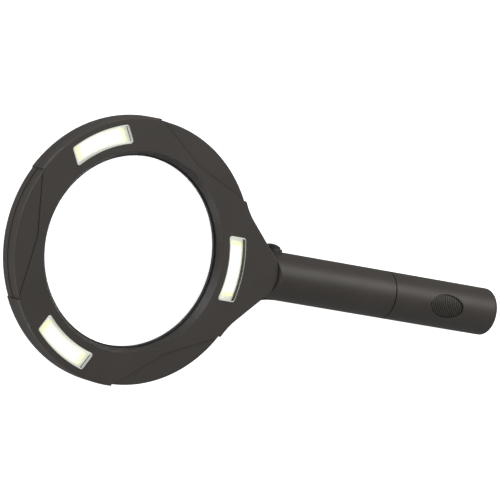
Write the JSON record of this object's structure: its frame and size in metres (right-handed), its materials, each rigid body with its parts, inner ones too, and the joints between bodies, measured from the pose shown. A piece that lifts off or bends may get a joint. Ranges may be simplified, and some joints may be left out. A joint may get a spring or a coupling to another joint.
{
  "type": "illuminated hand magnifier",
  "caption": "Hand-held low vision magnifier: large biconvex lens in a dark ring with lit windows, on a round battery handle with a push switch and a slide-off ribbed barrel.",
  "frame": {"origin": "centre of the lens ring, on the head's parting plane", "axes": "+X along the handle away from the lens, +Z out of the lit front face, +Y to the switch side"},
  "size_m": [0.3182, 0.15, 0.0276],
  "materials": {
    "housing": "matt soft-touch warm dark grey",
    "barrel_housing": "matt soft-touch warm dark grey",
    "lens": "clear polished acrylic",
    "gasket": "matt black silicone",
    "clear_tray": "clear polished plastic",
    "light_strip": "pale yellow phosphor gel, lit",
    "light_board": "white solder mask",
    "screws": "zinc plated",
    "switch_black": "satin black",
    "switch_plunger": "natural nylon",
    "switch_case": "black moulded",
    "circuit_board": "green solder mask",
    "components": "black moulded components",
    "carriage_black": "black moulded",
    "cell_can": "plain printed sleeve, no marks",
    "contacts": "nickel plated",
    "spring_steel": "bright spring wire",
    "wires": "red and black silicone insulation"
  },
  "bodies": {
    "body": {"front_cover": "housing", "main_body": "housing", "magnifier_lens": "lens", "lens_gasket": "gasket", "led_window_1": "clear_tray", "led_window_2": "clear_tray", "led_window_3": "clear_tray", "led_strip_1": "light_strip", "led_strip_2": "light_strip", "led_strip_3": "light_strip", "led_board_1": "light_board", "led_board_2": "light_board", "led_board_3": "light_board", "head_screws": "screws", "switch_bezel": "switch_black", "push_switch": "switch_case", "driver_board": "circuit_board", "driver_components": "components", "contact_disc": "circuit_board", "contact_pins": "contacts", "wire_loom": "wires"},
    "battery_barrel": {"battery_barrel": "barrel_housing", "barrel_spring": "spring_steel"},
    "battery_carriage": {"battery_carriage": "carriage_black", "battery_cell_1": "cell_can", "battery_cell_2": "cell_can", "battery_cell_3": "cell_can", "carriage_contacts": "contacts"},
    "switch_button": {"switch_button": "switch_black", "switch_plunger": "switch_plunger"}
  },
  "joints": [
    {"name": "button_press", "type": "slide", "parent": "body", "child": "switch_button", "axis": [0, -1, 0], "range_m": [0, 0.0012], "stiffness_N_per_m": 800, "springref_m": -0.001},
    {"name": "barrel_slide", "type": "slide", "parent": "body", "child": "battery_barrel", "axis": [1, 0, 0], "range_m": [0, 0.08]},
    {"name": "carriage_slide", "type": "slide", "parent": "battery_barrel", "child": "battery_carriage", "axis": [-1, 0, 0], "range_m": [0, 0.056]}
  ],
  "couplings": [
    {"joint": "carriage_slide", "follows": "barrel_slide", "ratio": 0.7}
  ]
}
